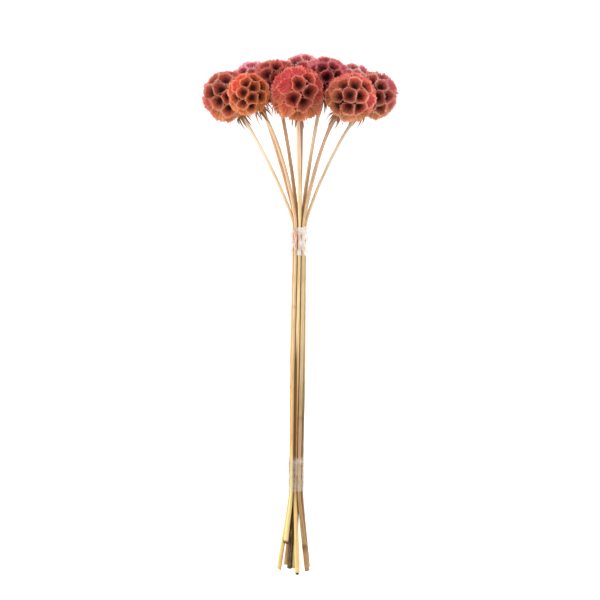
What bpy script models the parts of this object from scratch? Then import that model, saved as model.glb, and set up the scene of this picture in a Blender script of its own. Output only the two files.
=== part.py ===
"""A bunch of ten dried star scabious, bound twice with clear film and lying on a table.

The frame is in metres: +Z up from the table, +Y along the bunch towards its seed heads, and the
origin on the table below the middle of the bunch's outline.
"""

import math
import random
from collections import namedtuple

import bmesh
import bpy
from mathutils import Vector
from mathutils.geometry import interpolate_bezier

MM = 0.001

# One row for each flower: its head's centre and radius, how far the head leans out past the straight
# line of its stem, the column and row of the stem in the bound bundle, and the middle of its cut end.
# Heads lie in three layers, three of them on the table.
Flower = namedtuple("Flower", "number centre radius lean slot cut_end tint")
FLOWERS = (
    Flower(1, (-62.0, 188.0, 53.5), 21.9, 0.3, (-1.5, 0), (-18.6, -225.6, 6.8), "rose"),
    Flower(2, (-43.4, 186.0, 89.5), 17.7, 0.9, (-1, 1), (-12.7, -201.7, 13.0), "orange"),
    Flower(3, (-2.5, 186.5, 93.5), 22.7, 0.4, (0, 1), (-2.4, -228.7, 14.0), "coral"),
    Flower(4, (42.8, 183.0, 91.0), 21.0, 0.85, (1, 1), (6.3, -226.0, 12.0), "coral"),
    Flower(5, (63.6, 188.7, 54.0), 20.2, 0.5, (1.5, 0), (6.6, -223.0, 6.2), "rose"),
    Flower(6, (-40.4, 202.7, 19.0), 19.8, 0.2, (-1, -1), (-12.4, -222.5, 2.4), "magenta"),
    Flower(7, (-21.5, 200.3, 54.5), 18.9, 0.4, (-0.5, 0), (-9.3, -224.7, 6.4), "russet"),
    Flower(8, (1.8, 209.3, 18.4), 19.3, 0.4, (0, -1), (-7.5, -222.0, 1.9), "magenta"),
    Flower(9, (22.4, 202.6, 53.0), 18.9, 0.4, (0.5, 0), (-5.2, -224.7, 6.6), "magenta"),
    Flower(10, (45.7, 201.4, 18.4), 19.3, 0.7, (1, -1), (5.8, -222.5, 1.9), "rose"),
)

# The middles of the cups that face up on the five foremost heads, seen from above: to the right and up
# from the head's middle, as shares of its radius.
UPPER_CUPS = {
    1: ((-0.32, 0.23), (-0.06, 0.63), (0.05, -0.17), (-0.36, -0.36), (-0.74, 0.10), (0.08, -0.66)),
    2: ((-0.28, -0.06), (0.32, 0.27), (0.21, -0.35), (0.72, -0.24), (-0.26, -0.65)),
    3: ((0.08, 0.26), (-0.19, -0.38), (0.46, 0.50), (0.54, -0.06), (0.31, -0.56), (-0.50, 0.14)),
    4: ((-0.39, 0.49), (0.17, 0.50), (-0.59, -0.03), (-0.07, -0.03), (0.44, -0.09), (-0.14, -0.60)),
    5: ((0.35, 0.36), (0.18, -0.23), (0.65, -0.14), (-0.16, 0.63), (-0.34, 0.10), (0.30, -0.72)),
}

# The cups of one head. Radii are shares of the head's radius; shares run from a cell's middle to its edge.
CELLS = 42
SPIRAL_JITTER = 0.10
RELAX_STEPS = 30
RELAX_RATE = 0.012
GROOVE_RADIUS = 0.955
LIP_SHARE = 0.87
LIP_WAVE = 0.012
FLOOR_SHARE = 0.52
FLOOR_RADIUS = 0.58
EYE_RADIUS = 0.65
BASE_RADIUS = 0.915

# The ring of narrow bracts under a head, a disc whose sides are drawn out.
JOINT_GAP = 0.3 * MM
DISC_RADIUS = 2.3 * MM
DISC_THICKNESS = 1.2 * MM
BRACTS = 6
BRACT_BEND = ((2.4, -1.0, 0.95), (4.6, -5.5, 0.75))  # outward and along the axis in mm, then size kept
BRACT_TIP = (5.4, -11.5)
BRACT_JITTER = 0.22

# The bundle of stems. Its axis rises from the cut ends on the table to the heap of heads.
STEM_SPACING = 3.3 * MM
ROW_RISE = math.sqrt(3) / 2
AXIS_POINT = Vector((-0.4, 63.7, 41.0)) * MM
AXIS = Vector((0.0142, 1.0, 0.119)).normalized()
TWIST = math.radians(-12)
MIDDLE_SPREAD = 1.10
MIDDLE_JITTER = 0.12 * MM

# Film ties, by the middle and the length of each along Y.
UPPER_TIE = (63.7 * MM, 24.0 * MM)
LOWER_TIE = (-141.0 * MM, 30.0 * MM)
FILM_THICKNESS = 0.6 * MM
FILM_SIDES = 24
FILM_SLACK = (0.45 * MM, 0.3 * MM, 0.3 * MM, 0.55 * MM)

# The route of a stem, from its cut end to its tip: the radius in mm at each station, and for each span
# between stations its number of steps and the shares of it that leave and reach a station straight.
STATION_RADII = (1.85, 1.5, 1.5, 1.45, 1.35, 1.35, 1.15)
SPAN_STEPS = (4, 1, 2, 3, 1, 8)
SPAN_LEAVING = (0.33, 0.33, 0.33, 0.33, 0.33, 0.10)
SPAN_ARRIVING = (0.12, 0.33, 0.33, 0.33, 0.33, 0.33)

TINTS = {
    "rose": (0.50, 0.17, 0.15, 1.0),
    "orange": (0.62, 0.20, 0.09, 1.0),
    "coral": (0.62, 0.13, 0.11, 1.0),
    "magenta": (0.52, 0.12, 0.16, 1.0),
    "russet": (0.38, 0.13, 0.10, 1.0),
}


def clear_scene():
    for obj in list(bpy.data.objects):
        bpy.data.objects.remove(obj)


def new_collection(name):
    collection = bpy.data.collections.new(name)
    bpy.context.scene.collection.children.link(collection)
    return collection


def new_material(name, color, roughness, alpha=1.0):
    material = bpy.data.materials.new(name)
    material.use_nodes = True
    shader = material.node_tree.nodes["Principled BSDF"]
    shader.inputs["Base Color"].default_value = color
    shader.inputs["Roughness"].default_value = roughness
    shader.inputs["Metallic"].default_value = 0.0
    shader.inputs["Alpha"].default_value = alpha
    return material


def new_object(name, mesh_or_curve, material, collection, parent=None):
    obj = bpy.data.objects.new(name, mesh_or_curve)
    obj.data.materials.append(material)
    obj.parent = parent
    collection.objects.link(obj)
    return obj


def mesh_from(name, bm):
    """The finished mesh of a bmesh, with its faces pointing out."""
    bmesh.ops.recalc_face_normals(bm, faces=bm.faces)
    mesh = bpy.data.meshes.new(name)
    bm.to_mesh(mesh)
    bm.free()
    return mesh


def head_centre(flower):
    return Vector(flower.centre) * MM


def head_axis(flower):
    """The way a head looks: its stem's last stretch bends out past the straight line from the upper tie."""
    y, length = UPPER_TIE
    chord = (head_centre(flower) - bundle_point(flower.slot, y + length / 2)).normalized()
    return AXIS.lerp(chord, 1 + flower.lean).normalized()


def head_turn(flower):
    """The rotation that takes +Z to the way the head looks."""
    return head_axis(flower).to_track_quat("Z", "Y")


def make_head_frame(flower, collection):
    """The empty that carries a head and its bracts: at the head's centre, with +Z away from the stem."""
    frame = bpy.data.objects.new(f"flower_{flower.number:02d}", None)
    frame.location = head_centre(flower)
    frame.rotation_euler = head_turn(flower).to_euler()
    frame.empty_display_size = flower.radius * MM
    collection.objects.link(frame)
    return frame


def repulsion(point, points):
    """The push that a point gets from all the others, as between like charges."""
    gaps = (point - other for other in points if other != point)
    return sum((gap / gap.length ** 3 for gap in gaps), Vector())


def golden_spiral(draw):
    """Points spread over a unit ball from its top to its bottom, each moved a little."""
    golden = math.pi * (3 - math.sqrt(5))
    points = []
    for i in range(CELLS):
        height = 1 - (2 * i + 1) / CELLS
        ring = math.sqrt(1 - height * height)
        point = Vector((ring * math.cos(golden * i), ring * math.sin(golden * i), height))
        jitter = Vector([draw.gauss(0, SPIRAL_JITTER) for _ in range(3)])
        points.append((point + jitter).normalized())
    return points


def placed_directions(flower):
    """In the head's own frame: its cups with a place of their own, and last its base, at the bottom."""
    to_head = head_turn(flower).inverted()
    placed = []
    for right, up in UPPER_CUPS.get(flower.number, ()):
        towards_viewer = math.sqrt(1 - right**2 - up**2)
        placed.append(to_head @ Vector((right, up, towards_viewer)))
    return placed + [Vector((0, 0, -1))]


def cup_directions(flower):
    """Directions of all the cups, evened out round the placed ones, with the base last."""
    placed = placed_directions(flower)
    spiral = golden_spiral(random.Random(flower.number))
    crowded = sorted(spiral, key=lambda point: max(map(point.dot, placed)))[-len(placed):]
    free = [point for point in spiral if point not in crowded]
    for _ in range(RELAX_STEPS):
        pushes = [repulsion(point, free + placed) for point in free]
        free = [(point + RELAX_RATE * push).normalized() for point, push in zip(free, pushes)]
    return free + placed


def cell_ball(directions):
    """A closed ball with one face around each direction: the dual of the directions' convex hull."""
    hull = bmesh.new()
    for direction in directions:
        hull.verts.new(direction)
    bmesh.ops.convex_hull(hull, input=hull.verts)
    hull.verts.ensure_lookup_table()
    ball = bmesh.new()
    corners = {face: ball.verts.new(face.normal) for face in hull.faces}
    for vert in hull.verts:
        around = vert.co
        side = around.orthogonal()
        other = around.cross(side)
        ring = sorted(
            vert.link_faces,
            key=lambda face: math.atan2(face.normal.dot(other), face.normal.dot(side)),
        )
        ball.faces.new([corners[face] for face in ring])
    hull.free()
    return ball


def draw_in(bm, face, middle, share, radius):
    """Extrudes a cell's face and moves its corners to a share of their way out, at a given radius."""
    new = bmesh.ops.extrude_discrete_faces(bm, faces=[face])["faces"][0]
    for vert in new.verts:
        vert.co = middle.lerp(vert.co.normalized(), share).normalized() * radius
    return new


def carve_cup(bm, face, middle, draw):
    """Turns one cell into a cup with a raised rim, sloping walls and a pointed eye on its floor."""
    mouth = draw_in(bm, face, middle, LIP_SHARE, 1.0)
    for vert in mouth.verts:
        vert.co *= 1 + draw.uniform(-LIP_WAVE, 0)
    floor = draw_in(bm, mouth, middle, FLOOR_SHARE / LIP_SHARE, FLOOR_RADIUS)
    eye = bmesh.ops.poke(bm, faces=[floor])["verts"][0]
    eye.co = middle * EYE_RADIUS


def flatten_base(face):
    """The cell at the bottom stays closed and becomes the flat seat of the bract disc."""
    for vert in face.verts:
        vert.co.z = -BASE_RADIUS


def make_head(flower, frame, material, collection):
    """The ball of papery cups, one closed body."""
    directions = cup_directions(flower)
    draw = random.Random(flower.number)
    bm = cell_ball(directions)
    cells = list(bm.faces)
    for vert in bm.verts:
        vert.co *= GROOVE_RADIUS
    for face, middle in zip(cells[:-1], directions[:-1]):
        carve_cup(bm, face, middle, draw)
    flatten_base(cells[-1])
    bmesh.ops.scale(bm, vec=Vector((1, 1, 1)) * flower.radius * MM, verts=bm.verts)
    name = f"head_{flower.number:02d}"
    return new_object(name, mesh_from(name, bm), material, collection, frame)


def seat_on_table(head, table):
    """Presses a head that lies on the table flat where it touches."""
    cut = head.modifiers.new("pressed_flat", "BOOLEAN")
    cut.operation = "DIFFERENCE"
    cut.object = table


def make_table(collection):
    """The cutter below the table's surface."""
    bm = bmesh.new()
    bmesh.ops.create_cube(bm, size=1.0)
    bmesh.ops.translate(bm, verts=bm.verts, vec=(0, 0, -0.5))
    table = bpy.data.objects.new("table_cutter", mesh_from("table_cutter", bm))
    table.hide_render = True
    table.display_type = "WIRE"
    collection.objects.link(table)
    return table


def make_bracts(flower, frame, material, collection):
    """The disc under a head, with every other side drawn out into a narrow bract bent down the stem."""
    draw = random.Random(100 + flower.number)
    bm = bmesh.new()
    bmesh.ops.create_cone(
        bm,
        cap_ends=True,
        segments=2 * BRACTS,
        radius1=DISC_RADIUS,
        radius2=DISC_RADIUS,
        depth=DISC_THICKNESS,
    )
    sides = [face for face in bm.faces if abs(face.normal.z) < 0.5]
    sides.sort(key=lambda face: math.atan2(face.normal.y, face.normal.x))
    for side in sides[::2]:
        outward = side.normal.copy()
        reach = 1 + draw.uniform(-BRACT_JITTER, BRACT_JITTER)
        length = 1 + draw.uniform(-BRACT_JITTER, BRACT_JITTER)
        root = side.calc_center_median()
        end = side
        for out, down, size in BRACT_BEND:
            end = bmesh.ops.extrude_discrete_faces(bm, faces=[end])["faces"][0]
            middle = root + (outward * out * reach + Vector((0, 0, down * length))) * MM
            old = end.calc_center_median()
            for vert in end.verts:
                vert.co = middle + (vert.co - old) * size
        tip = bmesh.ops.poke(bm, faces=[end])["verts"][0]
        tip.co = root + (outward * BRACT_TIP[0] * reach + Vector((0, 0, BRACT_TIP[1] * length))) * MM
    name = f"bracts_{flower.number:02d}"
    bracts = new_object(name, mesh_from(name, bm), material, collection, frame)
    bracts.location.z = -flower.radius * MM * BASE_RADIUS - JOINT_GAP - DISC_THICKNESS / 2
    return bracts


def axis_at(y):
    """The bundle's axis where it crosses a plane across Y."""
    return AXIS_POINT + AXIS * (y - AXIS_POINT.y) / AXIS.y


def twist_at(y):
    """The bundle turns a little from its upper tie to its lower one."""
    high = UPPER_TIE[0] - UPPER_TIE[1] / 2
    low = LOWER_TIE[0] + LOWER_TIE[1] / 2
    return TWIST * min(1.0, max(0.0, (high - y) / (high - low)))


def bundle_point(slot, y, spread=1.0):
    """A slot's middle in the bundle's cross-section at y."""
    column, row = slot
    angle = twist_at(y)
    across = column * math.cos(angle) + row * ROW_RISE * math.sin(angle)
    up = row * ROW_RISE * math.cos(angle) - column * math.sin(angle)
    return axis_at(y) + Vector((across, 0, up)) * STEM_SPACING * spread


def stem_tip(flower):
    """Where the stem ends, just below its bract disc."""
    below = flower.radius * MM * BASE_RADIUS + DISC_THICKNESS + 2 * JOINT_GAP
    return head_centre(flower) - head_axis(flower) * below


def stem_stations(flower):
    """The route's stations from the cut end to the tip, each a point and the way the stem runs there."""
    draw = random.Random(200 + flower.number)
    slot = flower.slot
    low, low_length = LOWER_TIE
    high, high_length = UPPER_TIE
    middle_y = (low + high) / 2
    cut_end = Vector(flower.cut_end) * MM
    lower_in = bundle_point(slot, low - low_length / 2)
    lower_out = bundle_point(slot, low + low_length / 2)
    upper_in = bundle_point(slot, high - high_length / 2)
    upper_out = bundle_point(slot, high + high_length / 2)
    jitter = Vector((draw.uniform(-1, 1), 0, draw.uniform(-1, 1))) * MIDDLE_JITTER
    middle = bundle_point(slot, middle_y, MIDDLE_SPREAD) + jitter
    return (
        (cut_end, (lower_in - cut_end).normalized()),
        (lower_in, AXIS),
        (lower_out, AXIS),
        (middle, (upper_in - lower_out).normalized()),
        (upper_in, AXIS),
        (upper_out, AXIS),
        (stem_tip(flower), head_axis(flower)),
    )


def stem_route(flower):
    """Points and radii along a smooth curve through the stations."""
    stations = stem_stations(flower)
    points, radii = [stations[0][0]], [STATION_RADII[0]]
    for i, steps in enumerate(SPAN_STEPS):
        (start, leaving), (end, arriving) = stations[i], stations[i + 1]
        length = (end - start).length
        first_handle = start + leaving * length * SPAN_LEAVING[i]
        last_handle = end - arriving * length * SPAN_ARRIVING[i]
        points += interpolate_bezier(start, first_handle, last_handle, end, steps + 1)[1:]
        thickening = STATION_RADII[i + 1] - STATION_RADII[i]
        radii += [STATION_RADII[i] + thickening * (k + 1) / steps for k in range(steps)]
    return points, radii


def make_stem(flower, material, collection):
    """One round stem, from its cut end to the bract disc."""
    name = f"stem_{flower.number:02d}"
    curve = bpy.data.curves.new(name, "CURVE")
    curve.dimensions = "3D"
    curve.bevel_depth = 1.0 * MM
    curve.bevel_resolution = 2
    curve.use_fill_caps = True
    spline = curve.splines.new("POLY")
    points, radii = stem_route(flower)
    spline.points.add(len(points) - 1)
    for target, point, radius in zip(spline.points, points, radii):
        target.co = (*point, 1.0)
        target.radius = radius
    spline.use_smooth = True
    return new_object(name, curve, material, collection)


def film_loop(y, clearance):
    """The outline that film takes round the bundle at y: the stems' outer circles, wrapped tight."""
    middle = axis_at(y)
    slots = [bundle_point(flower.slot, y) - middle for flower in FLOWERS]
    loop = []
    for i in range(FILM_SIDES):
        angle = math.tau * (i + 0.5) / FILM_SIDES
        outward = Vector((math.cos(angle), 0, math.sin(angle)))
        furthest = max(slots, key=outward.dot)
        loop.append(middle + furthest + outward * clearance)
    return loop


def make_tie(name, place, stem_radius, material, collection):
    """A sleeve of film wound round the bundle, a little looser at its ends."""
    y, length = place
    bm = bmesh.new()
    last_edges = []
    for i, slack in enumerate(FILM_SLACK):
        station = y + length * (i / (len(FILM_SLACK) - 1) - 0.5)
        ring = bmesh.ops.create_circle(bm, segments=FILM_SIDES, radius=stem_radius)["verts"]
        for vert, point in zip(ring, film_loop(station, stem_radius + slack)):
            vert.co = point
        edges = list({edge for vert in ring for edge in vert.link_edges})
        if last_edges:
            bmesh.ops.bridge_loops(bm, edges=last_edges + edges)
        last_edges = edges
    film = new_object(name, mesh_from(name, bm), material, collection)
    wall = film.modifiers.new("film_wall", "SOLIDIFY")
    wall.thickness = FILM_THICKNESS
    wall.offset = 1.0
    wall.use_even_offset = True
    return film


def make_bunch():
    clear_scene()
    bunch = new_collection("scabious_bunch")
    table = make_table(new_collection("cutters"))
    cups_finish = {tint: new_material(f"papery_cups_{tint}", color, 0.75) for tint, color in TINTS.items()}
    bract_finish = new_material("dry_bracts", (0.16, 0.09, 0.05, 1.0), 0.8)
    stem_finish = new_material("straw_stem", (0.62, 0.42, 0.20, 1.0), 0.6)
    film_finish = new_material("clear_film", (0.92, 0.88, 0.86, 1.0), 0.12, alpha=0.35)
    for flower in FLOWERS:
        frame = make_head_frame(flower, bunch)
        head = make_head(flower, frame, cups_finish[flower.tint], bunch)
        if flower.centre[2] < flower.radius:
            seat_on_table(head, table)
        make_bracts(flower, frame, bract_finish, bunch)
        make_stem(flower, stem_finish, bunch)
    make_tie("upper_tie", UPPER_TIE, STATION_RADII[4] * MM, film_finish, bunch)
    make_tie("lower_tie", LOWER_TIE, STATION_RADII[1] * MM, film_finish, bunch)


make_bunch()
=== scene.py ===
"""The looks of a bunch of dried star scabious, bound twice with clear film and lying on a table.

Every CAD node is replaced by a finer piece on the same centres, axes and routes. The frame is the
part's own: metres, +Z up from the table, +Y along the bunch towards its seed heads.
"""

import bisect
import random
from collections import namedtuple
from itertools import accumulate
from math import atan, atan2, copysign, cos, exp, pi, radians, sin, sqrt, tan, tau

import bpy
from mathutils import Color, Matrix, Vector, noise
from mathutils.geometry import interpolate_bezier


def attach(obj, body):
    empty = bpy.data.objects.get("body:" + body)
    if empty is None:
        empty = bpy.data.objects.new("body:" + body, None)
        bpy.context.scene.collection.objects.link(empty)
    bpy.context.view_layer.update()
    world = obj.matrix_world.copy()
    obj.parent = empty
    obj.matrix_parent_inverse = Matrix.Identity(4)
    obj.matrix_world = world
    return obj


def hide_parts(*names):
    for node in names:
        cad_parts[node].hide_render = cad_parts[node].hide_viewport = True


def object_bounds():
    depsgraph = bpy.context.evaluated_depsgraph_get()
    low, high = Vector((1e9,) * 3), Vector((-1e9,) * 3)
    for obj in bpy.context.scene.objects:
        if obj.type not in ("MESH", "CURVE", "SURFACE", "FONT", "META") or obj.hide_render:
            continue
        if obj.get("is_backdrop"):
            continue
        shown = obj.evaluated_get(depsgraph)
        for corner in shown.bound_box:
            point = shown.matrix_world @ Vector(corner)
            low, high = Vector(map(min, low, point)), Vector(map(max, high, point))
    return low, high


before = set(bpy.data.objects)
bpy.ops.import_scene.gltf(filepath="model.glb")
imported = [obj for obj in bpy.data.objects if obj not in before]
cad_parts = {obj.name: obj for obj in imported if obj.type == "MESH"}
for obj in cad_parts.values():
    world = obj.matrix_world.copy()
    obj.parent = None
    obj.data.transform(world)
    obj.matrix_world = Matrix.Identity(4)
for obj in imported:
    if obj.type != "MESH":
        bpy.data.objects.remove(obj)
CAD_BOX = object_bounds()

MM = 0.001
ACROSS, ALONG, UP = (Vector(row) for row in ((1, 0, 0), (0, 1, 0), (0, 0, 1)))

# The part's own values: the flowers, the cups that face up, and the bundle of stems.
Flower = namedtuple("Flower", "number centre radius lean slot cut_end tint")
FLOWERS = (
    Flower(1, (-62.0, 188.0, 53.5), 21.9, 0.3, (-1.5, 0), (-18.6, -225.6, 6.8), "rose"),
    Flower(2, (-43.4, 186.0, 89.5), 17.7, 0.9, (-1, 1), (-12.7, -201.7, 13.0), "orange"),
    Flower(3, (-2.5, 186.5, 93.5), 22.7, 0.4, (0, 1), (-2.4, -228.7, 14.0), "coral"),
    Flower(4, (42.8, 183.0, 91.0), 21.0, 0.85, (1, 1), (6.3, -226.0, 12.0), "coral"),
    Flower(5, (63.6, 188.7, 54.0), 20.2, 0.5, (1.5, 0), (6.6, -223.0, 6.2), "rose"),
    Flower(6, (-40.4, 202.7, 19.0), 19.8, 0.2, (-1, -1), (-12.4, -222.5, 2.4), "magenta"),
    Flower(7, (-21.5, 200.3, 54.5), 18.9, 0.4, (-0.5, 0), (-9.3, -224.7, 6.4), "russet"),
    Flower(8, (1.8, 209.3, 18.4), 19.3, 0.4, (0, -1), (-7.5, -222.0, 1.9), "magenta"),
    Flower(9, (22.4, 202.6, 53.0), 18.9, 0.4, (0.5, 0), (-5.2, -224.7, 6.6), "magenta"),
    Flower(10, (45.7, 201.4, 18.4), 19.3, 0.7, (1, -1), (5.8, -222.5, 1.9), "rose"),
)
UPPER_CUPS = {
    1: ((-0.32, 0.23), (-0.06, 0.63), (0.05, -0.17), (-0.36, -0.36), (-0.74, 0.10), (0.08, -0.66)),
    2: ((-0.28, -0.06), (0.32, 0.27), (0.21, -0.35), (0.72, -0.24), (-0.26, -0.65)),
    3: ((0.08, 0.26), (-0.19, -0.38), (0.46, 0.50), (0.54, -0.06), (0.31, -0.56), (-0.50, 0.14)),
    4: ((-0.39, 0.49), (0.17, 0.50), (-0.59, -0.03), (-0.07, -0.03), (0.44, -0.09), (-0.14, -0.60)),
    5: ((0.35, 0.36), (0.18, -0.23), (0.65, -0.14), (-0.16, 0.63), (-0.34, 0.10), (0.30, -0.72)),
}
CELLS = 42
SPIRAL_JITTER = 0.10
RELAX_STEPS = 30
RELAX_RATE = 0.012
BASE_RADIUS = 0.915
JOINT_GAP = 0.3 * MM
DISC_RADIUS = 2.3 * MM
DISC_THICKNESS = 1.2 * MM
STEM_SPACING = 3.3 * MM
ROW_RISE = sqrt(3) / 2
AXIS_POINT = Vector((-0.4, 63.7, 41.0)) * MM
AXIS = Vector((0.0142, 1.0, 0.119)).normalized()
TWIST = radians(-12)
MIDDLE_SPREAD = 1.10
MIDDLE_JITTER = 0.12 * MM
UPPER_TIE = (63.7 * MM, 24.0 * MM)
LOWER_TIE = (-141.0 * MM, 30.0 * MM)
LOWER_ENDS, UPPER_ENDS = ((y - length / 2, y + length / 2) for y, length in (LOWER_TIE, UPPER_TIE))
STATION_RADII = (1.85, 1.5, 1.5, 1.45, 1.35, 1.35, 1.15)
SPAN_LEAVING = (0.33, 0.33, 0.33, 0.33, 0.33, 0.10)
SPAN_ARRIVING = (0.12, 0.33, 0.33, 0.33, 0.33, 0.33)

# One papery cup. Its rows run from the throat to the rim: a share of the way out to the cup's limit, and
# a radius as a share of the head's. Its columns alternate between ribs and the furrows between them.
CUP_PROFILE = (
    (0.10, 0.60), (0.18, 0.68), (0.28, 0.71), (0.43, 0.735), (0.59, 0.78),
    (0.73, 0.84), (0.84, 0.905), (0.93, 0.96), (1.0, 1.0),
)
RIM_LEVEL = 0.9  # the level that the material gets for a rim, between a throat's 0 and a tooth's 1
SHUT_LEVEL = 0.76
COLUMNS = 72
OPEN_PLEAT, SHUT_PLEAT = 3, 6  # columns from one rib to the next
NEIGHBOUR_LIMIT = radians(75)
CORNER_SHARPNESS = 7.0
CUP_SIZE = (0.96, 1.04)
CUP_TILT = 0.07
CUP_LEAN = 0.10
CUP_LIFT = (-0.045, -0.005)  # how far past its head's radius a rim lies
SHUT_RADIUS = 0.93  # what the throat of a shut cup rises towards
PLEAT = 0.016
PLEAT_GROWTH = 0.6  # how much deeper the pleats of a shut cup are
RIPPLES = ((2, 0.030), (3, 0.026), (5, 0.016))  # waves round a rim, and how far each may move it
RIM_WAVE = 0.6  # how far the rim waves up and down, as a share of its waves outwards
RIM_EXCESS = 0.6  # what is left of a rim's rise above its head's radius
CRUMPLE, CRUMPLE_SCALE = 0.045, 8.0
FOLD_DEPTH, RIM_FOLD_DEPTH = 0.2, 0.3  # how far the level falls where a shut cup is folded over
VEIN_STRENGTH = (0.3, 1.0)
OPEN_TONE = (0.2, 1.0)
FAN_TONE, FOLDED_TONE = 0.05, 0.15  # the material's tones for a flat fan and for a cup that begins to shut
TONE_FALL = 0.25
TOOTH = (0.01, 0.07)
FRAYED_TEETH = dict.fromkeys((1, 5, 10), (0.04, 0.20)) | dict.fromkeys((6, 7, 8, 9), (0.06, 0.30))
TOOTH_LOSS = 0.7  # how much of its teeth a shut cup loses

# How a head departs from a ball. Heights on it run from -1 at its base to 1 at its top.
LOWER_FLARE = 0.04  # how much further the cups round its base reach
BROAD_FLARE = {3: 0.12}
FLARE_HEIGHT, FLARE_SPREAD = -0.62, 0.25
FLAT_FROM, FLATNESS = -0.84, 0.08

# Each flower's cups that are pressed into flat fans: the place seen from above, how far the throat has moved
# in shares of the head's radius, and how far the cup is shut.
FANS = {
    2: (
        ((-0.70, 0.22), (0.26, -0.06), 0.75), ((-0.25, 0.72), (0.05, -0.25), 0.55),
    ),
    3: (
        ((-0.56, 0.10), (0.24, 0.20), 0.75), ((-0.62, -0.42), (0.24, 0.24), 0.75),
        ((-0.55, 0.62), (0.22, -0.10), 0.70), ((0.10, 0.80), (0.0, -0.26), 0.65),
        ((0.60, 0.66), (-0.15, -0.20), 0.55), ((-0.15, -0.82), (0.05, 0.25), 0.60),
        ((-0.90, 0.10), (0.24, 0.15), 0.75), ((-0.86, -0.42), (0.20, 0.24), 0.75),
    ),
    4: (
        ((0.85, 0.25), (-0.26, -0.05), 0.75), ((0.90, -0.25), (-0.26, 0.05), 0.75),
        ((0.72, -0.50), (-0.20, 0.20), 0.65), ((0.05, 0.86), (0.0, -0.22), 0.60),
    ),
}
# The cups round a head's side as seen from above are partly shut, with their throats moved up.
SIDE_BAND = (-0.30, 0.50)
SIDE_SHUT = (0.25, 0.60)
SIDE_THROAT = (0.10, 0.28)
SIDE_SWAY = 0.1
FAN_SHUT = 0.54  # a cup that is shut further has the broad pleats of a fan
STAR_SHUT = 0.60  # a cup that is shut further hides its star of awns
CLEAR_OF_TABLE = 0.1 * MM

# The dark star of awns in a cup.
AWNS = 5
AWN_PATH = ((0.02, 0.66), (0.15, 0.77), (0.34, 0.84), (0.56, 0.90), (0.80, 0.96))
AWN_WIDTH = 0.012
AWN_SPREAD = 0.32
AWN_BEND = (0.85, 1.12)
AWN_JITTER = 0.12
AWN_TAPER = 0.8
AWN_LEVEL, AWN_PALING = 0.10, 0.05  # the level that an awn starts with, and its rise at each step
STAR_SHIFT = 0.8  # how far a star follows its cup's throat

# The core of a head and the neck below it: distance from the axis and height, as shares of the radius.
CORE_OUTLINE = (
    (0.22, 0.60), (0.42, 0.48), (0.57, 0.28), (0.63, 0.0), (0.57, -0.28), (0.42, -0.48),
    (0.22, -0.60), (0.13, -0.68), (0.12, -0.80), (0.14, -BASE_RADIUS),
)
CORE_CROWN = 0.03
NECK_TOP = -0.62
NECK_LEVEL = 0.35

# Bracts. The long ones follow the part's: out and down from the disc's side, in mm.
LONG_BRACTS = SHORT_BRACTS = 6
LONG_BRACT = ((4.0, 0.2), (5.2, -5.0), (5.2, -12.6))
SHORT_BRACT = ((2.4, 1.0), (5.0, -0.6), (5.6, -6.0))
LONG_BEARING, SHORT_BEARING = -165, -135  # of the first bract of each ring, in degrees
SHORT_SWAY = 20
SHORT_SIZE = (0.7, 1.15)
SHORT_WIDTH = 0.8
BRACT_JITTER = 0.30
BRACT_STEPS = 9
BRACT_WIDTH = 1.15 * MM
BRACT_FOLD = 0.55 * MM
UNDER_FOLD = 0.3
BRACT_SWAY = 1.5 * MM
BRACT_ROOT = 0.8  # where a bract starts, as a share of the disc's radius
TURNED_COLUMNS = 24

# Stems. Distances along one run from its cut end.
STEM_SIDES = 20
RING_SPACING = 3.2 * MM
STEM_RIDGE = 0.035
STEM_BUMP = 0.05
BUMP_RATE = 4  # bumps in the length of a streak
GRAIN_STARTS = (0, 40)
CUT_SLANT = (0.1, 0.5)
UPWARD_CUTS = {3: 1.1}  # stems that are cut aslant with the cut face up, and how steeply
HOLLOW_DEPTH = 3.0 * MM
HOLLOW_WIDTH = 0.52
HOLLOW_TAPER = 0.8
STREAK_LENGTH = 50 * MM
COLOR_STREAKS = 9.0  # the length that a stem's change of colour takes, in streaks
FAN_GIRTH = {1: 0.30, 2: 0.20, 3: 0.50, 4: 0.25, 5: 0.25, 6: 0.25, 7: 0.35, 8: 0.40, 9: 0.40, 10: 0.25}
FAN_SWELLING = 35 * MM
CUT_GIRTH = 0.16
MIDDLE_GIRTH = {2: 0.15, 3: 0.26, 4: 0.12}
JOINT_LENGTH = 2.0 * MM
JOINT_SWELLING = 0.16
MIDDLE_JOINT = (0.30, 0.55)  # the share of a stem's length where its middle joint is
MIDDLE_MARK = 0.3  # how plain that joint is beside a low one
LOW_JOINTS = {2: 0.3 * MM, 4: 20 * MM, 7: 52 * MM, 1: 96 * MM}
SHADED_SIDES = {3: (-1, 135 * MM, 68 * MM)}  # painted shade down one side of a stem: the side, -1 for the left, then the middle and the reach
SHADE_EDGE = 1.4
CREVICE_REACH = 1.7 * MM  # stems get painted shade where they lie closer together than this
# How dark that painted shade between stems is at its strongest.
CREVICE_SHADE = 0.68

# Film.
FILM_COLUMNS = 96
FILM_ROWS = 44
OUTLINE_STEPS = 360
FILM_SLACK = 0.9 * MM
FILM_FLARE = 0.25 * MM
FILM_RAGGED = 2.2 * MM
BROAD_CREASE, FINE_CREASE = 0.49 * MM, 0.105 * MM
CREASE_SKEW = 2
GLARE_WIDTH = 0.11
# How fine each unevenness of the film is round the bundle and along it, and its own seed.
BROAD_CREASES, FINE_CREASES, PATCHES = (1.3, 9, 0), (4.0, 16, 50), (3.2, 4, 30)
UPPER_EDGE, LOWER_EDGE = (2.5, 0, 90), (2.5, 0, 70)
# The last turn: the shares of the way round that it covers, and its size and place beside the sleeve's.
LAST_TURN = (0.1, 0.85)
LAST_LENGTH = 0.8
LAST_SHIFT = 1.5 * MM
LAST_RISE = 0.25 * MM
LAST_SEED = 7
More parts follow.
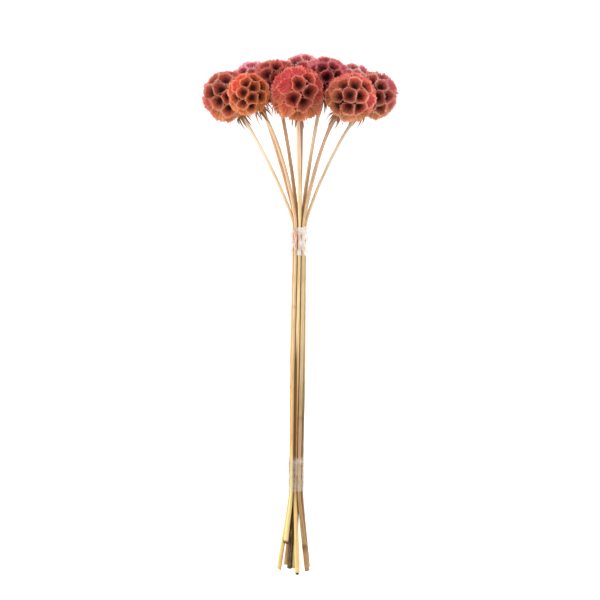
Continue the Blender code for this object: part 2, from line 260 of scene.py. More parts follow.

# The two ties. A tie opens by its mouth where the stems spread above it. Its painted glare is the usual one,
# how patchy it is, how much more there is at its brightest side, and where that is. The tint is a screen
# colour.
Tie = namedtuple("Tie", "name place stem_radius mouth seed glare dye tint")
Glare = namedtuple("Glare", "usual patchy side place")
UPPER_GLARE, LOWER_GLARE = Glare(0.30, 0.7, 0.36, 0.16), Glare(0.43, 0.08, 0.0, 0.0)
TIES = (
    Tie("upper_tie", UPPER_TIE, 1.35 * MM, 2.0 * MM, 3, UPPER_GLARE, "rosy", (252, 200, 198)),
    Tie("lower_tie", LOWER_TIE, 1.5 * MM, 0.2 * MM, 21, LOWER_GLARE, "cream", (250, 232, 204)),
)

# The camera, and each lamp's name, place, size and power.
CAMERA_PLACE = (0.0, 0.0125, 1.645)
CAMERA_LENS = 111.0
LAMPS = (
    ("key", (-1.0, 0.35, 1.4), 0.7, 13.0),
    ("fill", (0.7, -0.7, 1.4), 0.9, 5.0),
    ("left_edge", (-1.3, 0.3, 0.25), 0.8, 9.0),
    ("right_edge", (1.3, 0.3, 0.25), 0.8, 9.0),
    ("back", (0.0, 1.5, 0.3), 0.9, 8.0),
)
LIT_PLACE = Vector((0, 0.12, 0.05))
WORLD_LIGHT = 0.4
FLOOR_SIZE = 6.0
FLOOR_WHITE = 0.9
FLOOR_GLOW = 0.75


def clamp(value):
    """The nearest value from 0 to 1."""
    return min(1.0, max(0.0, value))


def swing(side, other, turn):
    """The way out at a turn from one direction towards another that is square to it."""
    return side * cos(turn) + other * sin(turn)


def running_lengths(points):
    """How far along a line each of its points lies."""
    steps = ((here - before).length for here, before in zip(points[1:], points))
    return list(accumulate(steps, initial=0.0))


def head_centre(flower):
    return Vector(flower.centre) * MM


def head_axis(flower):
    """The way a head looks: its stem's last stretch bends out past the straight line from the upper tie."""
    chord = (head_centre(flower) - bundle_point(flower.slot, UPPER_ENDS[1])).normalized()
    return AXIS.lerp(chord, 1 + flower.lean).normalized()


def head_turn(flower):
    """The rotation that takes +Z to the way the head looks."""
    return head_axis(flower).to_track_quat("Z", "Y")


def repulsion(point, points):
    """The push that a point gets from all the others, as between like charges."""
    gaps = (point - other for other in points if other != point)
    return sum((gap / gap.length ** 3 for gap in gaps), Vector())


def golden_spiral(draw):
    """Points spread over a unit ball from its top to its bottom, each moved a little."""
    golden = pi * (3 - sqrt(5))
    points = []
    for i in range(CELLS):
        height = 1 - (2 * i + 1) / CELLS
        ring = sqrt(1 - height * height)
        point = Vector((ring * cos(golden * i), ring * sin(golden * i), height))
        jitter = Vector([draw.gauss(0, SPIRAL_JITTER) for _ in range(3)])
        points.append((point + jitter).normalized())
    return points


def facing(turn, place):
    """In a head's own frame, the direction that shows at a place on the ball seen from above."""
    right, up = place
    towards_viewer = sqrt(max(0.0, 1 - right**2 - up**2))
    return turn.inverted() @ Vector((right, up, towards_viewer))


def cup_directions(flower):
    """The cups' directions in the head's own frame, evened out round the placed ones, with the base last."""
    turn = head_turn(flower)
    placed = [facing(turn, place) for place in UPPER_CUPS.get(flower.number, ())] + [-UP]
    spiral = golden_spiral(random.Random(flower.number))
    crowded = sorted(spiral, key=lambda point: max(map(point.dot, placed)))[-len(placed):]
    free = [point for point in spiral if point not in crowded]
    for _ in range(RELAX_STEPS):
        pushes = [repulsion(point, free + placed) for point in free]
        free = [(point + RELAX_RATE * push).normalized() for point, push in zip(free, pushes)]
    return free + placed


def axis_at(y):
    """The bundle's axis where it crosses a plane across Y."""
    return AXIS_POINT + AXIS * (y - AXIS_POINT.y) / AXIS.y


def twist_at(y):
    """The bundle turns a little from its upper tie to its lower one."""
    low, high = LOWER_ENDS[1], UPPER_ENDS[0]
    return TWIST * clamp((high - y) / (high - low))


def bundle_point(slot, y, spread=1.0):
    """A slot's middle in the bundle's cross-section at y."""
    column, row = slot
    angle = twist_at(y)
    across = column * cos(angle) + row * ROW_RISE * sin(angle)
    up = row * ROW_RISE * cos(angle) - column * sin(angle)
    return axis_at(y) + Vector((across, 0, up)) * STEM_SPACING * spread


def stem_tip(flower):
    """Where the stem ends, just below its bract disc."""
    below = flower.radius * MM * BASE_RADIUS + DISC_THICKNESS + 2 * JOINT_GAP
    return head_centre(flower) - head_axis(flower) * below


def stem_stations(flower):
    """The route's stations from the cut end to the tip, each a point and the way the stem runs there."""
    draw = random.Random(200 + flower.number)
    middle_y = (LOWER_TIE[0] + UPPER_TIE[0]) / 2
    cut_end = Vector(flower.cut_end) * MM
    tie_ends = (*LOWER_ENDS, *UPPER_ENDS)
    lower_in, lower_out, upper_in, upper_out = (bundle_point(flower.slot, y) for y in tie_ends)
    jitter = Vector((draw.uniform(-1, 1), 0, draw.uniform(-1, 1))) * MIDDLE_JITTER
    middle = bundle_point(flower.slot, middle_y, MIDDLE_SPREAD) + jitter
    return (
        (cut_end, (lower_in - cut_end).normalized()),
        (lower_in, AXIS),
        (lower_out, AXIS),
        (middle, (upper_in - lower_out).normalized()),
        (upper_in, AXIS),
        (upper_out, AXIS),
        (stem_tip(flower), head_axis(flower)),
    )


def stem_route(flower):
    """Points and radii along a smooth curve through the stations."""
    stations = stem_stations(flower)
    points, radii = [stations[0][0]], [STATION_RADII[0] * MM]
    for i in range(len(stations) - 1):
        (start, leaving), (end, arriving) = stations[i], stations[i + 1]
        length = (end - start).length
        steps = max(2, round(length / RING_SPACING))
        first_handle = start + leaving * length * SPAN_LEAVING[i]
        last_handle = end - arriving * length * SPAN_ARRIVING[i]
        points += interpolate_bezier(start, first_handle, last_handle, end, steps + 1)[1:]
        thickening = STATION_RADII[i + 1] - STATION_RADII[i]
        radii += [(STATION_RADII[i] + thickening * (k + 1) / steps) * MM for k in range(steps)]
    return points, radii


def add_object(data):
    """A new object in the scene, named after its mesh, lamp or camera."""
    thing = bpy.data.objects.new(data.name, data)
    bpy.context.scene.collection.objects.link(thing)
    return thing


class Shell:
    """Points and faces collected for one mesh, with four numbers at each point for its material."""

    def __init__(self):
        self.points = []
        self.finish = []
        self.faces = []

    def add_rings(self, rings, finishes, closed=True):
        """Joins rings of points into a band of faces, and says where its first and last ring start."""
        columns = len(rings[0])
        first = len(self.points)
        for ring, finish in zip(rings, finishes):
            self.points += ring
            self.finish += finish
        for row in range(len(rings) - 1):
            for column in range(columns if closed else columns - 1):
                here = first + row * columns + column
                beside = first + row * columns + (column + 1) % columns
                self.faces.append((here, beside, beside + columns, here + columns))
        return first, first + (len(rings) - 1) * columns

    def close_ring(self, first, columns, point, finish, inward=False):
        """Closes a ring of points with a fan round one more point."""
        middle = len(self.points)
        self.points.append(point)
        self.finish.append(finish)
        for column in range(columns):
            edge = (first + column, first + (column + 1) % columns)
            self.faces.append((edge[1], edge[0], middle) if inward else (edge[0], edge[1], middle))

    def add_solid(self, rings, finishes, start, end):
        """A band of rings, closed round one more point with its finish at either end."""
        first, last = self.add_rings(rings, finishes)
        self.close_ring(first, len(rings[0]), *start, inward=True)
        self.close_ring(last, len(rings[0]), *end)

    def stand_for(self, node, material):
        """Puts the mesh on the object as a smooth piece in place of its CAD node."""
        mesh = bpy.data.meshes.new(f"scabious_{node}")
        mesh.from_pydata(self.points, [], self.faces)
        mesh.shade_smooth()
        finish = mesh.attributes.new("finish", "FLOAT_COLOR", "POINT")
        finish.data.foreach_set("color", [number for four in self.finish for number in four])
        mesh.materials.append(material)
        piece = add_object(mesh)
        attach(piece, "root")
        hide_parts(node)


def side_vectors(direction):
    """Two unit vectors across a direction."""
    side = direction.orthogonal().normalized()
    return side, direction.cross(side)


def cup_limits(middle, directions):
    """How far a cup can reach in each column before it meets its neighbours, as an angle."""
    side, other = side_vectors(middle)
    neighbours = []
    for direction in directions:
        gap = middle.angle(direction)
        if direction != middle and gap < NEIGHBOUR_LIMIT:
            bearing = atan2(direction.dot(other), direction.dot(side))
            neighbours.append((tan(gap / 2), bearing))
    limits = []
    for column in range(COLUMNS):
        turn = tau * column / COLUMNS
        facings = ((cos(turn - bearing), half) for half, bearing in neighbours)
        crowding = sum((facing / half) ** CORNER_SHARPNESS for facing, half in facings if facing > 0)
        limits.append(atan(crowding ** (-1 / CORNER_SHARPNESS)))
    return limits


def ripple(turn, phases):
    """A slow uneven wave round a rim."""
    return sum(reach * cos(count * turn + phase) for (count, reach), phase in zip(RIPPLES, phases))


def throat_shift(flower, middle, turn, directions, draw):
    """Where a cup's throat lies off the middle of its mouth, and how far the cup is shut."""
    for place, throat, fan_shut in FANS.get(flower.number, ()):
        if middle == max(directions, key=facing(turn, place).dot):
            return turn.inverted() @ Vector((*throat, 0)), fan_shut
    lowest, highest = SIDE_BAND
    if lowest < (turn @ middle).z < highest:
        sways = [draw.uniform(-SIDE_SWAY, SIDE_SWAY) for _ in range(2)]
        shift = turn.inverted() @ Vector((*sways, 1))
        return shift * draw.uniform(*SIDE_THROAT), draw.uniform(*SIDE_SHUT)
    side, other = side_vectors(middle)
    bearing, reach = draw.uniform(0, tau), draw.uniform(0, CUP_LEAN)
    return swing(side, other, bearing) * reach, 0.0


def dent(direction):
    """Which way the crumpling of the paper moves a place on a head."""
    place = direction * CRUMPLE_SCALE
    return Vector([noise.noise(place + UP * apart) for apart in (0, 9, 18)])


def add_cup(shell, place, middle, directions, shift, shut, tooth, draw):
    """One pleated cup with a toothed, slightly crumpled rim."""
    side, other = side_vectors(middle)
    limits = cup_limits(middle, directions)
    size = draw.uniform(*CUP_SIZE)
    tilt, tilt_turn = draw.uniform(0, CUP_TILT), draw.uniform(0, tau)
    lift = draw.uniform(*CUP_LIFT)
    out_phases, up_phases = ([draw.uniform(0, tau) for _ in RIPPLES] for _ in range(2))
    teeth = [draw.uniform(*tooth) for _ in range(COLUMNS)]
    veins = [draw.uniform(*VEIN_STRENGTH) if shut else 1.0 for _ in range(COLUMNS)]
    tone = FOLDED_TONE - TONE_FALL * shut if shut else draw.uniform(*OPEN_TONE)
    pleat = SHUT_PLEAT if shut > FAN_SHUT else OPEN_PLEAT
    rings, finishes = [], []
    for share, radius in CUP_PROFILE:
        ring, finish = [], []
        for column in range(COLUMNS):
            turn = tau * column / COLUMNS
            crest = 0.5 + 0.5 * cos(tau * column / pleat)
            outward = swing(side, other, turn)
            sway = ripple(turn, out_phases) * share**2
            reach = limits[column] * size * (share + sway)
            height = radius + (SHUT_RADIUS - radius) * shut * (1 - share)
            height += share**2 * (lift + tilt * cos(turn - tilt_turn))
            height += share**3 * ripple(turn, up_phases) * RIM_WAVE
            height += share * PLEAT * (2 * crest - 1) * (1 + PLEAT_GROWTH * shut)
            is_tooth = share == 1.0 and crest == 1.0
            if is_tooth:
                height += teeth[column] * (1 - TOOTH_LOSS * shut)
            if height > 1:
                height = 1 + RIM_EXCESS * (height - 1)
            direction = middle * cos(reach) + outward * sin(reach)
            direction = (direction + shift * (1 - share)).normalized()
            ring.append(place(direction * height + dent(direction) * CRUMPLE * share**2))
            level = 1.0 if is_tooth else share * RIM_LEVEL
            if shut:
                folded = max(0.0, outward.dot(shift.normalized())) * share
                level = SHUT_LEVEL + (level - SHUT_LEVEL) * (1 - shut) - FOLD_DEPTH * folded
                level = max(level, share * RIM_LEVEL - RIM_FOLD_DEPTH * folded)
            latitude = 0.5 + 0.5 * direction.z
            vein = crest * veins[round(column / pleat) * pleat % COLUMNS]
            finish.append((level, vein, latitude, tone))
        rings.append(ring)
        finishes.append(finish)
    shell.add_rings(rings, finishes)


def add_star(shell, place, middle, draw):
    """The dark star of awns that stands in a cup's throat."""
    side, other = side_vectors(middle)
    first_turn = draw.uniform(0, tau)
    for awn in range(AWNS):
        turn = first_turn + tau * (awn + draw.uniform(-AWN_JITTER, AWN_JITTER)) / AWNS
        outward = swing(side, other, turn)
        across = middle.cross(outward)
        bend = draw.uniform(*AWN_BEND)
        rings, finishes = [], []
        for step, (share, radius) in enumerate(AWN_PATH):
            angle = share * AWN_SPREAD * bend
            direction = middle * cos(angle) + outward * sin(angle)
            spine = direction * radius
            width = AWN_WIDTH * (1 - AWN_TAPER * step / (len(AWN_PATH) - 1))
            corners = (across * width, middle * width, -across * width)
            rings.append([place(spine + corner) for corner in corners])
            finish = (AWN_LEVEL + AWN_PALING * step, 0.0, 0.5, 0.5)
            finishes.append([finish] * len(corners))
        _, last = shell.add_rings(rings, finishes)
        tip = place(direction * (radius + AWN_WIDTH))
        shell.close_ring(last, len(corners), tip, finish)


def add_turned(shell, place, outline, finishes, crown=0.0):
    """A solid turned from an outline of distances and heights, whose top rises to a crown."""
    columns = range(TURNED_COLUMNS)
    outwards = [swing(ACROSS, ALONG, tau * column / TURNED_COLUMNS) for column in columns]
    rings = [[place(out * distance + UP * height) for out in outwards] for distance, height in outline]
    top, bottom = place(UP * (outline[0][1] + crown)), place(UP * outline[-1][1])
    finish_rings = [[finish] * TURNED_COLUMNS for finish in finishes]
    shell.add_solid(rings, finish_rings, (top, finishes[0]), (bottom, finishes[-1]))


def add_core(shell, place):
    """The head's core, drawn out at its bottom into the neck that joins the bracts."""
    levels = [NECK_LEVEL if height < NECK_TOP else 0.0 for _, height in CORE_OUTLINE]
    finishes = [(level, 0.0, 0.0, 0.5) for level in levels]
    add_turned(shell, place, CORE_OUTLINE, finishes, CORE_CROWN)


def make_head(flower, material):
    """The ball of papery cups on its core."""
    draw = random.Random(flower.number)
    centre, turn, radius = head_centre(flower), head_turn(flower), flower.radius * MM
    flare = BROAD_FLARE.get(flower.number, LOWER_FLARE)
    tooth = FRAYED_TEETH.get(flower.number, TOOTH)

    def place(point):
        """A point of the head's own unit frame, on the table or above it."""
        height = point.normalized().z
        broader = flare * exp(-(((height - FLARE_HEIGHT) / FLARE_SPREAD) ** 2)) * point.length_squared
        flatter = FLATNESS * max(0.0, FLAT_FROM - height) / (1 + FLAT_FROM)
        placed = centre + turn @ (point * radius * (1 + broader - flatter))
        placed.z = max(placed.z, CLEAR_OF_TABLE)
        return placed

    directions = cup_directions(flower)
    shell = Shell()
    for middle in directions[:-1]:
        shift, shut = throat_shift(flower, middle, turn, directions, draw)
        add_cup(shell, place, middle, directions, shift, shut, tooth, draw)
        if shut < STAR_SHUT:
            add_star(shell, place, (middle + shift * STAR_SHIFT).normalized(), draw)
    add_core(shell, place)
    shell.stand_for(f"head_{flower.number:02d}", material)


def add_bract(shell, place, turn, route, width, draw):
    """One narrow folded blade from the disc's side along a curve out and down."""
    outward = swing(ACROSS, ALONG, turn)
    across = UP.cross(outward)
    root = outward * DISC_RADIUS * BRACT_ROOT
    handles = [root + (outward * out + UP * down) * MM for out, down in route]
    spine = interpolate_bezier(root, *handles, BRACT_STEPS)
    sway = draw.uniform(-1, 1)
    tone = draw.random()
    rings, finishes = [], []
    for step, point in enumerate(spine[:-1]):
        share = step / (BRACT_STEPS - 1)
        tangent = (spine[step + 1] - point).normalized()
        normal = tangent.cross(across)
        middle = point + across * sway * share**2 * BRACT_SWAY
        taper = 1 - share**3
        half, fold = width * taper, normal * BRACT_FOLD * taper
        corners = (across * half, fold, -across * half, -fold * UNDER_FOLD)
        rings.append([place(middle + corner) for corner in corners])
        finishes.append([(share, side, 0.0, tone) for side in (1.0, 0.0, 1.0, 0.0)])
    tip = place(spine[-1] + across * sway * BRACT_SWAY)
    ends = (place(root), (0.0, 0.0, 0.0, tone)), (tip, (1.0, 0.0, 0.0, tone))
    shell.add_solid(rings, finishes, *ends)


def add_disc(shell, place):
    """The rounded green-brown seat of the bracts, on top of the stem."""
    half = DISC_THICKNESS / 2
    profile = ((0.6, half), (0.92, 0.6 * half), (1.0, 0.0), (0.9, -0.7 * half), (0.62, -half - 0.4 * MM))
    outline = [(share * DISC_RADIUS, height) for share, height in profile]
    add_turned(shell, place, outline, [(0.0, 0.5, 0.0, 0.5)] * len(outline))


def make_bracts(flower, material):
    """The ring of narrow bracts under a head: long ones that hang, and short ones that spread."""
    draw = random.Random(100 + flower.number)
    centre, turn = head_centre(flower), head_turn(flower)
    drop = flower.radius * MM * BASE_RADIUS + JOINT_GAP + DISC_THICKNESS / 2

    def place(point):
        """A point of the disc's own frame, on the table or above it."""
        placed = centre + turn @ (point - UP * drop)
        placed.z = max(placed.z, CLEAR_OF_TABLE)
        return placed

    shell = Shell()
    add_disc(shell, place)
    for bract in range(LONG_BRACTS):
        reach = 1 + draw.uniform(-BRACT_JITTER, BRACT_JITTER)
        length = 1 + draw.uniform(-BRACT_JITTER, BRACT_JITTER)
        bearing = radians(LONG_BEARING + 360 / LONG_BRACTS * bract)
        route = [(out * reach, down * length) for out, down in LONG_BRACT]
        add_bract(shell, place, bearing, route, BRACT_WIDTH, draw)
    for bract in range(SHORT_BRACTS):
        size = draw.uniform(*SHORT_SIZE)
        sway = draw.uniform(-SHORT_SWAY, SHORT_SWAY)
        bearing = radians(SHORT_BEARING + 360 / SHORT_BRACTS * bract + sway)
        route = [(out * size, down * size) for out, down in SHORT_BRACT]
        add_bract(shell, place, bearing, route, SHORT_WIDTH * BRACT_WIDTH, draw)
    shell.stand_for(f"bracts_{flower.number:02d}", material)


def girth_at(flower, y):
    """How much a stem thickens, past the upper tie towards its head and past the lower one to its cut."""
    fan_start, cut_start = UPPER_ENDS[1], LOWER_ENDS[0]
    fan = clamp((y - fan_start) / FAN_SWELLING)
    low = clamp((cut_start - y) / (cut_start - flower.cut_end[1] * MM))
    tied = clamp((y - cut_start) / (fan_start - cut_start))
    middle = MIDDLE_GIRTH.get(flower.number, 0.0) * sin(pi * tied)
    return 1 + FAN_GIRTH[flower.number] * fan + CUT_GIRTH * low + middle


def joint_mark(along, joints):
    """How close a place along a stem is to one of its joints, from 0 to 1."""
    return max(mark * exp(-(((along - joint) / JOINT_LENGTH) ** 2)) for joint, mark in joints)


def stem_joints(flower, length, draw):
    """A stem's joints: their distances from its cut end, and how plain each is."""
    joints = [(draw.uniform(*MIDDLE_JOINT) * length, MIDDLE_MARK)]
    if flower.number in LOW_JOINTS:
        joints.append((LOW_JOINTS[flower.number], 1.0))
    return joints


def crossing(route, y):
    """Where a stem's route crosses a plane across Y, and its radius there, or nothing past its ends."""
    points, radii = route
    place = bisect.bisect(points, y, key=lambda point: point.y)
    if place in (0, len(points)):
        return None
    before, after = points[place - 1], points[place]
    share = (y - before.y) / (after.y - before.y)
    return before.lerp(after, share), radii[place - 1] + share * (radii[place] - radii[place - 1])


def side_shade(flower, along, turn):
    """How much painted shade a stem has at a place along and round it, from 0 to 1."""
    if flower.number not in SHADED_SIDES:
        return 0.0
    side, middle, reach = SHADED_SIDES[flower.number]
    across = clamp(0.5 + SHADE_EDGE * side * cos(turn))
    return across * exp(-(((along - middle) / reach) ** 4))


def crevice(place, others):
    """How closely a place on a stem's skin lies to the other stems, from 0 to 1, which sets the painted
    shade in the gaps.
    """
    gaps = [(place - centre).length - radius for centre, radius in others]
    return clamp(1 - min(gaps, default=1.0) / CREVICE_REACH)


def make_stem(flower, routes, material):
    """One dry ridged stem with a hollow cut end, from the cut to the bract disc."""
    draw = random.Random(300 + flower.number)
    points, radii = routes[flower.number]
    lengths = running_lengths(points)
    joints = stem_joints(flower, lengths[-1], draw)
    slant, slant_turn = draw.uniform(*CUT_SLANT), draw.uniform(0, tau)
    if flower.number in UPWARD_CUTS:
        slant, slant_turn = UPWARD_CUTS[flower.number], pi / 2
    grain = draw.uniform(*GRAIN_STARTS)
    turns = [tau * side / STEM_SIDES for side in range(STEM_SIDES)]
    rings, finishes = [], []

    def add_ring(index, inside=1.0, depth=0.0):
        """One ring of the stem's skin, or at a share of its radius for the hollow end."""
        point, radius = points[index], radii[index]
        tangent = (points[min(index + 1, len(points) - 1)] - points[max(index - 1, 0)]).normalized()
        across = tangent.cross(UP).normalized()
        normal = across.cross(tangent)
        along = lengths[index]
        mark = joint_mark(along, joints)
        crossings = [crossing(route, point.y) for number, route in routes.items() if number != flower.number]
        others = [found for found in crossings if found]
        girth = girth_at(flower, point.y)
        ring, finish = [], []
        for side, turn in enumerate(turns):
            cosine, sine = cos(turn), sin(turn)
            bump = noise.noise(Vector((cosine, sine, along / STREAK_LENGTH * BUMP_RATE + grain)))
            width = radius * inside * (girth + STEM_BUMP * bump + JOINT_SWELLING * mark)
            width *= 1 + STEM_RIDGE * (1 if side % 2 else -1)
            slope = slant * radius * inside * cos(turn - slant_turn) if index == 0 else 0.0
            place = point + swing(across, normal, turn) * width + tangent * (depth + slope)
            place.z = max(place.z, CLEAR_OF_TABLE)
            ring.append(place)
            # Darker at joints, which is the straw's own colour, and with painted shade in the gaps between
            # stems and down a shaded side.
            dark = max(mark, CREVICE_SHADE * crevice(place, others), side_shade(flower, along, turn))
            finish.append((cosine * inside, sine * inside, along / STREAK_LENGTH, dark))
        rings.append(ring)
        finishes.append(finish)

    add_ring(0, HOLLOW_WIDTH * HOLLOW_TAPER, HOLLOW_DEPTH)
    add_ring(0, HOLLOW_WIDTH)
    for index in range(len(points)):
        add_ring(index)
    shell = Shell()
    bottom = points[0] + (points[1] - points[0]).normalized() * HOLLOW_DEPTH
    top_finish = (0.0, 0.0, lengths[-1] / STREAK_LENGTH, 0.0)
    shell.add_solid(rings, finishes, (bottom, (0.0, 0.0, 0.0, 0.0)), (points[-1], top_finish))
    shell.stand_for(f"stem_{flower.number:02d}", material)


def bundle_outline(y, clearance):
    """Evenly spaced points round the bundle at y, and the bundle's middle there."""
    middle = axis_at(y)
    slots = [bundle_point(flower.slot, y) - middle for flower in FLOWERS]
    dense = []
    for step in range(OUTLINE_STEPS):
        angle = tau * step / OUTLINE_STEPS
        outward = swing(ACROSS, UP, angle)
        furthest = max(slots, key=outward.dot)
        dense.append(middle + furthest + outward * clearance)
    dense.append(dense[0])
    lengths = running_lengths(dense)
    outline, segment = [], 0
    for column in range(FILM_COLUMNS):
        target = lengths[-1] * column / FILM_COLUMNS
        while lengths[segment + 1] <= target:
            segment += 1
        share = (target - lengths[segment]) / (lengths[segment + 1] - lengths[segment])
        outline.append(dense[segment].lerp(dense[segment + 1], share))
    return outline, middle


def add_film(shell, tie, place, clearance, seed, columns):
    """One layer of creased film round the bundle."""
    def uneven(round_it, along_it, own_seed, skew=0.0):
        """How uneven the film is at a turn round it and a share of its length, from -1 to 1."""
        return noise.noise(turn * round_it + UP * (seed + own_seed + share * along_it + skew))

    y, length = place
    rings, finishes = [], []
    for row in range(FILM_ROWS):
        share = row / (FILM_ROWS - 1)
        spread = 2 * share - 1
        flare = FILM_FLARE * abs(spread) ** 3 + tie.mouth * max(0.0, spread) ** 2
        outline, middle = bundle_outline(y + length * (share - 0.5), clearance + flare)
        ring, finish = [], []
        for column in columns:
            point = outline[column % FILM_COLUMNS]
            outward = (point - middle).normalized()
            around = column / FILM_COLUMNS
            turn = swing(ACROSS, ALONG, tau * around)
            crease, fine = uneven(*BROAD_CREASES, CREASE_SKEW * around), uneven(*FINE_CREASES)
            ragged = uneven(*(UPPER_EDGE if spread > 0 else LOWER_EDGE))
            point += outward * (BROAD_CREASE * abs(crease) + FINE_CREASE * fine)
            point.y += copysign(spread**4, spread) * ragged * FILM_RAGGED
            ring.append(point)
            # Painted glare: patchy, with more of it towards one side.
            off_side = (around - tie.glare.place + 0.5) % 1 - 0.5
            side_glare = tie.glare.side * exp(-((off_side / GLARE_WIDTH) ** 2))
            glare = tie.glare.usual + tie.glare.patchy * uneven(*PATCHES) + side_glare
            finish.append((glare, abs(turn.x), 0.0, 0.5 + 0.5 * fine))
        rings.append(ring)
        finishes.append(finish)
    shell.add_rings(rings, finishes, closed=len(columns) == FILM_COLUMNS)


def make_tie(tie):
    """A sleeve of thin film, with the loose end of its last turn lying on it."""
    y, length = tie.place
    clearance = tie.stem_radius + FILM_SLACK
    last_place = (y + LAST_SHIFT, length * LAST_LENGTH)
    last_columns = range(*(round(FILM_COLUMNS * share) for share in LAST_TURN))
    shell = Shell()
    add_film(shell, tie, tie.place, clearance, tie.seed, range(FILM_COLUMNS))
    add_film(shell, tie, last_place, clearance + LAST_RISE, tie.seed + LAST_SEED, last_columns)
    shell.stand_for(tie.name, film_material(tie))


def light(*screen):
    """A linear colour from the red, green and blue of a screen, each from 0 to 255."""
    return (*Color([value / 255 for value in screen]).from_srgb_to_scene_linear(), 1.0)


def grey(value):
    return (value, value, value, 1.0)


class Look:
    """A node material that is put together node by node."""

    def __init__(self, name):
        self.material = bpy.data.materials.new(name)
        self.material.use_nodes = True
        self.tree = self.material.node_tree
        self.tree.nodes.clear()

    def node(self, kind, inputs=None, **settings):
        """A new node with its settings, and with values or links on its inputs."""
        node = self.tree.nodes.new(f"ShaderNode{kind}")
        for name, value in settings.items():
            setattr(node, name, value)
        for key, value in (inputs or {}).items():
            if isinstance(value, bpy.types.NodeSocket):
                self.tree.links.new(value, node.inputs[key])
            else:
                node.inputs[key].default_value = value
        return node

    def finish(self):
        """The four numbers that a shell has at each point, and the first three as a vector."""
        node = self.node("Attribute", attribute_name="finish")
        channels = self.node("SeparateColor", {"Color": node.outputs["Color"]})
        return (*channels.outputs, node.outputs["Alpha"]), node.outputs["Vector"]

    def ramp(self, factor, *stops):
        """A colour that follows a factor through stops of position and colour."""
        node = self.node("ValToRGB", {"Fac": factor})
        elements = node.color_ramp.elements
        elements.remove(elements[-1])
        for i, (position, color) in enumerate(stops):
            element = elements[0] if i == 0 else elements.new(position)
            element.position = position
            element.color = color
        return node.outputs["Color"]

    def fade(self, factor, *stops):
        """A strength that follows a factor through stops of position and strength."""
        return self.ramp(factor, *((position, grey(strength)) for position, strength in stops))

    def mix(self, factor, first, second, blend="MIX"):
        """Two colours mixed by a factor."""
        inputs = {0: factor, 6: first, 7: second}
        return self.node("Mix", inputs, data_type="RGBA", blend_type=blend).outputs[2]

    def math(self, operation, first, second=0.0, use_clamp=False):
        """One sum on one or two numbers."""
        inputs = {0: first, 1: second}
        return self.node("Math", inputs, operation=operation, use_clamp=use_clamp).outputs[0]

    def noise(self, scale, detail=2.0, vector=None, roughness=0.5):
        """Noise in the object's own metres, or in the space of a vector."""
        vector = vector or self.node("TexCoord").outputs["Object"]
        inputs = {"Vector": vector, "Scale": scale, "Detail": detail, "Roughness": roughness}
        return self.node("TexNoise", inputs).outputs["Fac"]

    def uneven(self, value, noise, strength):
        """A value that moves up and down with a noise."""
        return self.math("ADD", value, self.math("MULTIPLY", self.math("SUBTRACT", noise, 0.5), strength))

    def bump(self, height, strength, distance):
        """A surface's normals, bent by the bumps of a height."""
        inputs = {"Height": height, "Strength": strength, "Distance": distance}
        return self.node("Bump", inputs).outputs[0]

    def surface(self, color, roughness, normal, specular=0.5, alpha=1.0):
        """A shader for paper, straw or film."""
        inputs = {"Base Color": color, "Roughness": roughness, "Normal": normal}
        inputs |= {"Specular IOR Level": specular, "Alpha": alpha}
        return self.node("BsdfPrincipled", inputs).outputs[0]

    def mix_shaders(self, factor, first, second):
        """Two shaders mixed by a factor."""
        return self.node("MixShader", {0: factor, 1: first, 2: second}).outputs[0]

    def covered_by(self, shader):
        """The material, with a shader on its surface."""
        self.node("OutputMaterial", {"Surface": shader})
        return self.material


Palette = namedtuple("Palette", "base middle top rim inside brown throat")


def shaded(palette, shade):
    """A palette's linear colours, with the red, green and blue of each made stronger or weaker."""
    factors = (*shade, 1.0)
    return Palette(*(tuple(min(1.0, c * f) for c, f in zip(light(*color), factors)) for color in palette))


def cup_material(name, palette):
    """Dyed papery cups: dark throats that are partly their own colour and partly painted shade, veined
    walls, pale thin rims, and more dye towards the head's top.
    """
    look = Look(name)
    (level, rib, latitude, tone), _ = look.finish()
    fan = look.fade(tone, (FAN_TONE, 1.0), (FOLDED_TONE, 0.0))
    patches = look.noise(75.0, detail=3.0)
    speckle = look.noise(900.0, detail=4.0, roughness=0.7)

    dye_place = look.uneven(latitude, patches, 0.9)
    dye = look.ramp(dye_place, (0.22, palette.base), (0.55, palette.middle), (0.85, palette.top))
    duller = look.mix(0.5, dye, palette.brown)
    wall = look.mix(look.fade(tone, (0.45, 0.0), (1.0, 0.8)), dye, duller)
    wall = look.mix(look.fade(speckle, (0.40, 0.0), (0.75, 0.3)), wall, palette.rim)
    vein = look.fade(rib, (0.35, 0.0), (0.85, 0.8))
    red = look.mix(1.0, wall, (0.56, 0.32, 0.32, 1.0), "MULTIPLY")
    through = look.mix(vein, wall, red)

    level = look.uneven(level, patches, 0.12)
    rim = look.fade(level, (0.80, 0.0), (0.89, 0.85))
    # The floor darkens from the inside colour through brown to the throat: partly the cups' own darker
    # centres, partly painted shade deep in the cups.
    floor = look.ramp(level, (0.32, palette.throat), (0.58, palette.brown), (0.76, palette.inside))
    lit = look.mix(fan, floor, through)
    lit = look.mix(rim, lit, palette.rim)
    through = look.mix(rim, through, palette.rim)

    normal = look.bump(look.noise(420.0, detail=3.0), 0.35, 0.6 * MM)
    roughness = look.fade(speckle, (0.3, 0.55), (0.7, 0.85))
    surface = look.surface(lit, roughness, normal, specular=0.3)
    glow = look.node("BsdfTranslucent", {"Color": through, "Normal": normal}).outputs[0]
    clear = look.node("BsdfTransparent").outputs[0]
    thinness = look.fade(level, (0.45, 0.05), (0.62, 0.5), (0.9, 0.65))
    edge = look.fade(level, (0.92, 0.0), (1.0, 0.4))
    paper = look.mix_shaders(thinness, surface, glow)
    return look.covered_by(look.mix_shaders(edge, paper, clear))


